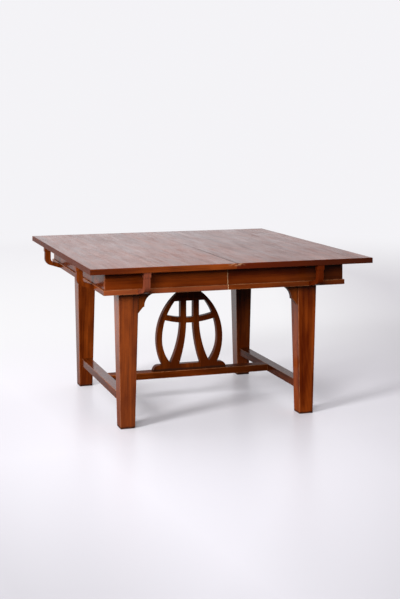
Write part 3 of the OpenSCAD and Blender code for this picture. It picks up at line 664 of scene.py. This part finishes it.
def eased(node, width, steps, rub_and_highlight, seam):
    """A copy of a wooden node with its outward edges rounded. The rounding carries wear, partly a painted
    highlight, and the seam's marks.
    """
    shape = merged(node)
    bmesh.ops.dissolve_limit(shape, angle_limit=FLAT_ANGLE, verts=shape.verts, edges=shape.edges)
    outward = [
        e for e in shape.edges
        if len(e.link_faces) == 2 and e.calc_face_angle_signed(0.0) > EASED_ANGLE and e.calc_length() > 2 * width
    ]
    rounded = set()
    if outward and width > 0:
        done = bmesh.ops.bevel(
            shape, geom=outward, offset=width, offset_type="OFFSET", segments=steps, profile=0.5,
            affect="EDGES", clamp_overlap=True,
        )
        rounded = set(done["faces"])
    for face in shape.faces:
        face.smooth = True
    for edge in shape.edges:
        inside = [f in rounded for f in edge.link_faces]
        if len(inside) != 2:
            continue
        if all(inside):
            edge.smooth = True
        elif any(inside):
            edge.smooth = False
        else:
            edge.smooth = edge.calc_face_angle(0.0) < CRISP_ANGLE
    layer = shape.loops.layers.float_color.new("wear_and_light")
    for face in shape.faces:
        wear_and_light = FRESH
        if face in rounded:
            at_seam = seam is not None and abs(face.calc_center_median().x) < SEAM_REACH
            wear_and_light = seam if at_seam else (rub_and_highlight, 0.0, 0.0, 1.0)
        for loop in face.loops:
            loop[layer] = wear_and_light
    mesh = bpy.data.meshes.new(node + "_eased")
    shape.to_mesh(mesh)
    shape.free()
    piece = bpy.data.objects.new(node + "_eased", mesh)
    bpy.context.scene.collection.objects.link(piece)
    finish, slot_name = finish_for(node)
    mesh.materials.append(finish)
    if node.startswith("top_panel"):
        mesh.materials.append(finish_for(node.replace("top_panel", "lipping"))[0])
        mesh.materials.append(finish_for(node.replace("top_panel", "side_edge"))[0])
        for face in mesh.polygons:
            if abs(face.normal.y) > FRONT_FACING and abs(face.center.y) > EDGE_PLACE.y:
                face.material_index = 1
            elif abs(face.normal.x) > SIDE_FACING and abs(face.center.x) > EDGE_PLACE.x:
                face.material_index = 2
    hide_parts(node)
    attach(piece, BODY_OF[node])


def ease_all(starts, width, rub_and_highlight, seam=None):
    """Eases every node whose name starts with one of the words. The easing is rubbed pale, partly a painted
    highlight, or carries the seam's marks.
    """
    steps = bpy.context.scene.table_edges.ease_steps
    found = [n for n in NODES if n.startswith(starts) and "screws" not in n]
    if not found:
        raise RuntimeError(f"the frame has no node that starts with {starts}")
    for node in sorted(found):
        eased(node, width, steps, rub_and_highlight, seam)
    return {"FINISHED"}


class TABLE_OT_top(Operator):
    """Ease and polish the two halves of the top"""

    bl_idname = "table.top"
    bl_label = "Top Panels"

    def execute(self, context):
        # The rounding at the seam is dark: dirt and painted shade in the gap between the halves
        return ease_all(("top_panel",), context.scene.table_edges.top_ease, 1.0, seam=DIRT_AND_SHADE_SEAM)


class TABLE_OT_apron(Operator):
    """Ease and polish the apron boards"""

    bl_idname = "table.apron"
    bl_label = "Apron Boards"

    def execute(self, context):
        # The apron's seams are bare and pale, partly a painted glint
        return ease_all(("apron_",), context.scene.table_edges.apron_ease, 0.8, seam=BARE_AND_GLINT_SEAM)


class TABLE_OT_ledge(Operator):
    """Ease and polish the ledge under the apron"""

    bl_idname = "table.ledge"
    bl_label = "Ledge"

    def execute(self, context):
        # The ledge's seams are bare and pale, partly a painted glint
        return ease_all(("ledge_",), context.scene.table_edges.trim_ease, 0.9, seam=BARE_AND_GLINT_SEAM)


class TABLE_OT_brackets(Operator):
    """Ease and polish the curved brackets"""

    bl_idname = "table.brackets"
    bl_label = "Brackets"

    def execute(self, context):
        return ease_all(("bracket_",), context.scene.table_edges.trim_ease, 0.7)


class TABLE_OT_legs(Operator):
    """Ease and polish the legs and the corbels"""

    bl_idname = "table.legs"
    bl_label = "Legs and Corbels"

    def execute(self, context):
        return ease_all(("leg_", "corbel_"), context.scene.table_edges.leg_ease, 0.5)


class TABLE_OT_stretchers(Operator):
    """Ease and polish the stretchers"""

    bl_idname = "table.stretchers"
    bl_label = "Stretchers"

    def execute(self, context):
        return ease_all(("side_stretcher", "centre_stretcher"), context.scene.table_edges.leg_ease, 0.6)


class TABLE_OT_splat(Operator):
    """Ease and polish the fretted splat"""

    bl_idname = "table.splat"
    bl_label = "Fretted Splat"

    def execute(self, context):
        return ease_all(("fret_splat",), context.scene.table_edges.splat_ease, 0.35)


class TABLE_OT_frame(Operator):
    """Finish the frame rails, the guides, the spine and the sliding parts"""

    bl_idname = "table.frame"
    bl_label = "Frame and Slides"

    def execute(self, context):
        names = ("frame_rail", "guide_bar", "spine", "runner_", "glue_blocks", "seam_pins")
        return ease_all(names, context.scene.table_edges.inner_ease, 0.1)


def screw_tree(finish):
    """Geometry nodes that put a slotted screw on every point, aimed along the point's own direction."""
    tree = bpy.data.node_groups.new("Slotted screws", "GeometryNodeTree")
    plugs = tree.interface
    plugs.new_socket(name="Geometry", in_out="INPUT", socket_type="NodeSocketGeometry")
    for words in ("Head radius", "Head height", "Shank radius", "Screw length", "Slot width", "Slot depth"):
        plugs.new_socket(name=words, in_out="INPUT", socket_type="NodeSocketFloat").subtype = "DISTANCE"
    plugs.new_socket(name="Facets", in_out="INPUT", socket_type="NodeSocketInt")
    plugs.new_socket(name="Geometry", in_out="OUTPUT", socket_type="NodeSocketGeometry")
    net = Net(tree)
    given = net.node("NodeGroupInput").outputs
    head_height = Value(net, given["Head height"])
    screw_length = Value(net, given["Screw length"])
    slot_depth = Value(net, given["Slot depth"])
    head = net.node(
        "GeometryNodeMeshCylinder", inputs={
            "Vertices": given["Facets"], "Radius": given["Head radius"], "Depth": given["Head height"],
        },
    )
    lifted = net.node(
        "GeometryNodeTransform", inputs={
            "Geometry": head.outputs["Mesh"], "Translation": net.joined(0.0, 0.0, head_height * 0.5),
        },
    )
    slot_block = net.node(
        "GeometryNodeMeshCube", inputs={
            "Size": net.joined(Value(net, given["Head radius"]) * 3.0, given["Slot width"], slot_depth * 2.0),
        },
    )
    cut = net.node("GeometryNodeMeshBoolean", {"operation": "DIFFERENCE"})
    tree.links.new(lifted.outputs[0], cut.inputs["Mesh 1"])
    tree.links.new(slot_block.outputs["Mesh"], cut.inputs["Mesh 2"])
    shank_length = screw_length - head_height
    shank = net.node(
        "GeometryNodeMeshCylinder", inputs={
            "Vertices": given["Facets"], "Radius": given["Shank radius"], "Depth": shank_length,
        },
    )
    raised_shank = net.node(
        "GeometryNodeTransform", inputs={
            "Geometry": shank.outputs["Mesh"],
            "Translation": net.joined(0.0, 0.0, head_height + shank_length * 0.5),
        },
    )
    whole = net.node("GeometryNodeJoinGeometry")
    tree.links.new(cut.outputs["Mesh"], whole.inputs[0])
    tree.links.new(raised_shank.outputs[0], whole.inputs[0])
    aim = net.node("GeometryNodeInputNamedAttribute", {"data_type": "FLOAT_VECTOR"}, {"Name": "aim"})
    turn = net.node("FunctionNodeAlignRotationToVector", {"axis": "Z"}, {"Vector": aim.outputs[0]})
    placed = net.node(
        "GeometryNodeInstanceOnPoints", inputs={
            "Points": given["Geometry"], "Instance": whole.outputs[0], "Rotation": turn.outputs[0],
        },
    )
    real = net.node("GeometryNodeRealizeInstances", inputs={0: placed.outputs[0]})
    painted = net.node("GeometryNodeSetMaterial", inputs={"Geometry": real.outputs[0], "Material": finish})
    net.node("NodeGroupOutput", inputs={0: painted.outputs[0]})
    return tree


def separate_solids(shape):
    """The corners of each connected part of a mesh."""
    seen = set()
    for start in shape.verts:
        if start in seen:
            continue
        corners, stack = [], [start]
        seen.add(start)
        while stack:
            vert = stack.pop()
            corners.append(vert.co.copy())
            for edge in vert.link_edges:
                other = edge.other_vert(vert)
                if other not in seen:
                    seen.add(other)
                    stack.append(other)
        yield corners


def off_axis(point, middle, axis):
    """How far a point lies from the line through the middle along an axis."""
    away = point - middle
    away[axis] = 0.0
    return away.length


def screws_in(node):
    """Place, direction, head radius, head height, shank radius and length of every screw in a node."""
    shape = merged(node)
    found = []
    for corners in separate_solids(shape):
        low = Vector([min(p[i] for p in corners) for i in range(3)])
        high = Vector([max(p[i] for p in corners) for i in range(3)])
        size, middle = high - low, (low + high) / 2
        axis = max(range(3), key=lambda i: size[i])
        head_radius = size[(axis + 1) % 3] / 2
        reaches = [(p[axis], off_axis(p, middle, axis)) for p in corners]
        on_head = [level for level, reach in reaches if reach > head_radius * HEAD_SHARE]
        shank_radius = max(reach for _, reach in reaches if reach <= head_radius * HEAD_SHARE)
        head_low = min(on_head) - low[axis] < high[axis] - max(on_head)
        place, aim = middle.copy(), Vector((0.0, 0.0, 0.0))
        place[axis] = low[axis] if head_low else high[axis]
        aim[axis] = 1.0 if head_low else -1.0
        found.append((place, aim, head_radius, max(on_head) - min(on_head), shank_radius, size[axis]))
    shape.free()
    return found


class TABLE_OT_screws(Operator):
    """Put slotted screws where the frame has its plain ones"""

    bl_idname = "table.screws"
    bl_label = "Slotted Screws"

    def execute(self, context):
        sizes = context.scene.table_screws
        finish = screw_steel("dull screw steel")
        tree = screw_tree(finish)
        sockets = {s.name: s.identifier for s in tree.interface.items_tree if s.in_out == "INPUT"}
        for node in sorted(n for n in NODES if "screws" in n):
            found = screws_in(node)
            if not found:
                raise RuntimeError(f"{node} holds no screws")
            _, _, head, height, shank, reach = found[0]
            points = bpy.data.meshes.new(node + "_points")
            points.from_pydata([p for p, *_ in found], [], [])
            aims = points.attributes.new("aim", "FLOAT_VECTOR", "POINT")
            for i, (_, aim, *_) in enumerate(found):
                aims.data[i].vector = aim
            holder = bpy.data.objects.new(node + "_points", points)
            context.scene.collection.objects.link(holder)
            made = holder.modifiers.new("Screws", "NODES")
            made.node_group = tree
            values = {
                "Head radius": head, "Head height": height, "Shank radius": shank, "Screw length": reach,
                "Slot width": sizes.slot_width, "Slot depth": sizes.slot_depth, "Facets": sizes.facets,
            }
            for words, number in values.items():
                made[sockets[words]] = number
            context.view_layer.update()
            graph = context.evaluated_depsgraph_get()
            mesh = bpy.data.meshes.new_from_object(holder.evaluated_get(graph))
            bpy.data.objects.remove(holder)
            mesh.name = node + "_slotted"
            for face in mesh.polygons:
                face.use_smooth = True
            mesh.set_sharp_from_angle(angle=SCREW_CRISP_ANGLE)
            piece = bpy.data.objects.new(node + "_slotted", mesh)
            context.scene.collection.objects.link(piece)
            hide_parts(node)
            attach(piece, BODY_OF[node])
        return {"FINISHED"}


def area_light(name, watts, size, place, target):
    """A rectangular lamp that the camera doesn't see."""
    lamp = bpy.data.lights.new(name, "AREA")
    lamp.shape = "RECTANGLE"
    lamp.size, lamp.size_y = size
    lamp.energy = watts
    holder = bpy.data.objects.new(name, lamp)
    bpy.context.scene.collection.objects.link(holder)
    holder.location = place
    holder.visible_camera = False
    holder.rotation_euler = (Vector(target) - Vector(place)).to_track_quat("-Z", "Y").to_euler()
    return holder


def floor_finish(studio):
    """A pale floor that fades into the distance and throws little light back. Its colour is dimmed towards the
    camera and the sides as painted shade, and glows behind the table as painted light.
    """
    paint, net = new_material("pale floor")
    place = net.object_place()
    x, y, _ = net.split(place)
    cloudy = net.speckled(place, FLOOR_CLOUDS)
    # Painted shade: the floor's colour dims towards the camera, to the left and to the right
    front = 1.0 - FRONT_SHARE + y.ramped(*FRONT_FADE) * FRONT_SHARE
    left = (0.0 - x - y * 0.12).ramped(*LEFT_FADE) * LEFT_SHARE
    right = (x - y * 0.7).ramped(*RIGHT_FADE) * RIGHT_SHARE + x.ramped(*FAR_RIGHT_FADE) * FAR_RIGHT_SHARE
    lightness = front * (1.0 - left - right)
    tinted = net.blended(lightness, colour((0.0, 0.0, 0.0)), colour(studio.floor_tone))
    seen = net.node("ShaderNodeLightPath")
    by_camera = net.value(seen, "Is Camera Ray")
    tinted = net.blended(by_camera, colour(studio.floor_bounce), tinted)
    shader = net.node(
        "ShaderNodeBsdfPrincipled", inputs={
            "Base Color": tinted, "Roughness": 0.33 + (cloudy - 0.5) * 0.02, "Specular IOR Level": 0.18,
        },
    )
    reach = (x * x + y * y).math("SQRT").ramped(*FLOOR_FADE, True)
    faded = net.blended(reach, colour(studio.floor_far), colour(studio.distance_tone))
    distant = net.node("ShaderNodeEmission", inputs={"Color": faded, "Strength": 1.0})
    # Painted light: a glow shows the floor brighter behind the table, thinner on the right as painted shade
    thinned = (x - y * 0.35).ramped(*THIN_FADE) * THIN_SHARE
    painted_glow = y.ramped(*GLOW_FADE, True) * (GLOW_SHARE - thinned)
    shown = reach.math("MAXIMUM", painted_glow) * by_camera.math("MAXIMUM", net.value(seen, "Is Glossy Ray"))
    mixed = net.node("ShaderNodeMixShader", inputs={0: shown, 1: shader.outputs[0], 2: distant.outputs[0]})
    net.node("ShaderNodeOutputMaterial", inputs={0: mixed.outputs[0]})
    return paint


def even_light(studio):
    """A world that is brighter behind, on the left and overhead, and that the camera sees as one pale tone."""
    world = bpy.data.worlds.new("even light")
    world.use_nodes = True
    net = Net(world.node_tree)
    x, y, z = net.split(net.node("ShaderNodeTexCoord").outputs["Generated"])
    back = y.ramped(*BACK_FADE, True) * BACK_LIGHT
    left = (0.0 - x).ramped(*SIDE_FADE, True) * SIDE_LIGHT
    overhead = z.ramped(*OVERHEAD_FADE, True) * OVERHEAD_LIGHT
    strength = (SKY_EVEN + back + left + overhead) * studio.sky_strength
    lit = net.node("ShaderNodeBackground", inputs={"Color": colour(studio.sky_tone), "Strength": strength})
    shown = net.node("ShaderNodeBackground", inputs={"Color": colour(studio.distance_tone), "Strength": 1.0})
    seen = net.node("ShaderNodeLightPath")
    mixed = net.node(
        "ShaderNodeMixShader", inputs={0: seen.outputs["Is Camera Ray"], 1: lit.outputs[0], 2: shown.outputs[0]},
    )
    net.node("ShaderNodeOutputWorld", inputs={0: mixed.outputs[0]})
    return world


def level_camera(studio):
    """The photo's camera: level, and shifted instead of tilted."""
    lens = bpy.data.cameras.new("photo_camera")
    lens.lens = studio.camera_lens
    lens.sensor_width = SENSOR_WIDTH
    lens.sensor_fit = "AUTO"
    lens.shift_x = studio.shift_x
    lens.shift_y = studio.shift_y
    lens.clip_end = FAR_CLIP
    camera = bpy.data.objects.new("photo_camera", lens)
    camera.location = studio.camera_place
    camera.rotation_euler = (math.radians(90.0), 0.0, -studio.camera_heading)
    return camera


class TABLE_OT_stage(Operator):
    """Make the pale floor, the light and the camera"""

    bl_idname = "table.stage"
    bl_label = "Stage and Camera"

    def execute(self, context):
        scene = context.scene
        studio = scene.table_studio
        shape = bmesh.new()
        bmesh.ops.create_circle(shape, cap_ends=True, segments=96, radius=FLOOR_RADIUS)
        bmesh.ops.recalc_face_normals(shape, faces=shape.faces)
        mesh = bpy.data.meshes.new("pale_floor")
        shape.to_mesh(mesh)
        shape.free()
        mesh.materials.append(floor_finish(studio))
        floor = bpy.data.objects.new("pale_floor", mesh)
        scene.collection.objects.link(floor)
        scene.world = even_light(studio)
        area_light("window", studio.key_power, (studio.key_width, studio.key_height), WINDOW_PLACE, WINDOW_AIM)
        fill = area_light("front fill", studio.fill_power, FILL_SIZE, FILL_PLACE, FILL_AIM)
        fill.visible_glossy = False
        camera = level_camera(studio)
        scene.collection.objects.link(camera)
        scene.camera = camera
        scene.view_settings.view_transform = "Standard"
        return {"FINISHED"}


class TABLE_PT_dresser(Panel):
    """Lists the finishing steps of the table"""

    bl_idname = "TABLE_PT_dresser"
    bl_label = "Extending Table"
    bl_space_type = "VIEW_3D"
    bl_region_type = "UI"
    bl_category = "Table"

    def draw(self, context):
        layout = self.layout
        for step in STEPS:
            layout.operator(step.bl_idname)
        for group in SETTINGS:
            box = layout.box()
            settings = getattr(context.scene, group)
            for key in settings.__annotations__:
                box.prop(settings, key)


SETTINGS = {
    "table_wood": TableWoodSettings,
    "table_edges": TableEdgeSettings,
    "table_screws": TableScrewSettings,
    "table_studio": TableStudioSettings,
}
STEPS = (
    TABLE_OT_top, TABLE_OT_apron, TABLE_OT_ledge, TABLE_OT_brackets, TABLE_OT_legs,
    TABLE_OT_stretchers, TABLE_OT_splat, TABLE_OT_frame, TABLE_OT_screws, TABLE_OT_stage,
)


def register():
    for group in SETTINGS.values():
        bpy.utils.register_class(group)
    for name, group in SETTINGS.items():
        setattr(bpy.types.Scene, name, PointerProperty(type=group))
    for step in STEPS:
        bpy.utils.register_class(step)
    bpy.utils.register_class(TABLE_PT_dresser)


def unregister():
    bpy.utils.unregister_class(TABLE_PT_dresser)
    for step in reversed(STEPS):
        bpy.utils.unregister_class(step)
    for name in SETTINGS:
        delattr(bpy.types.Scene, name)
    for group in reversed(list(SETTINGS.values())):
        bpy.utils.unregister_class(group)


def main():
    register()
    for step in STEPS:
        family, action = step.bl_idname.split(".")
        getattr(getattr(bpy.ops, family), action)()


if __name__ == "__main__":
    main()
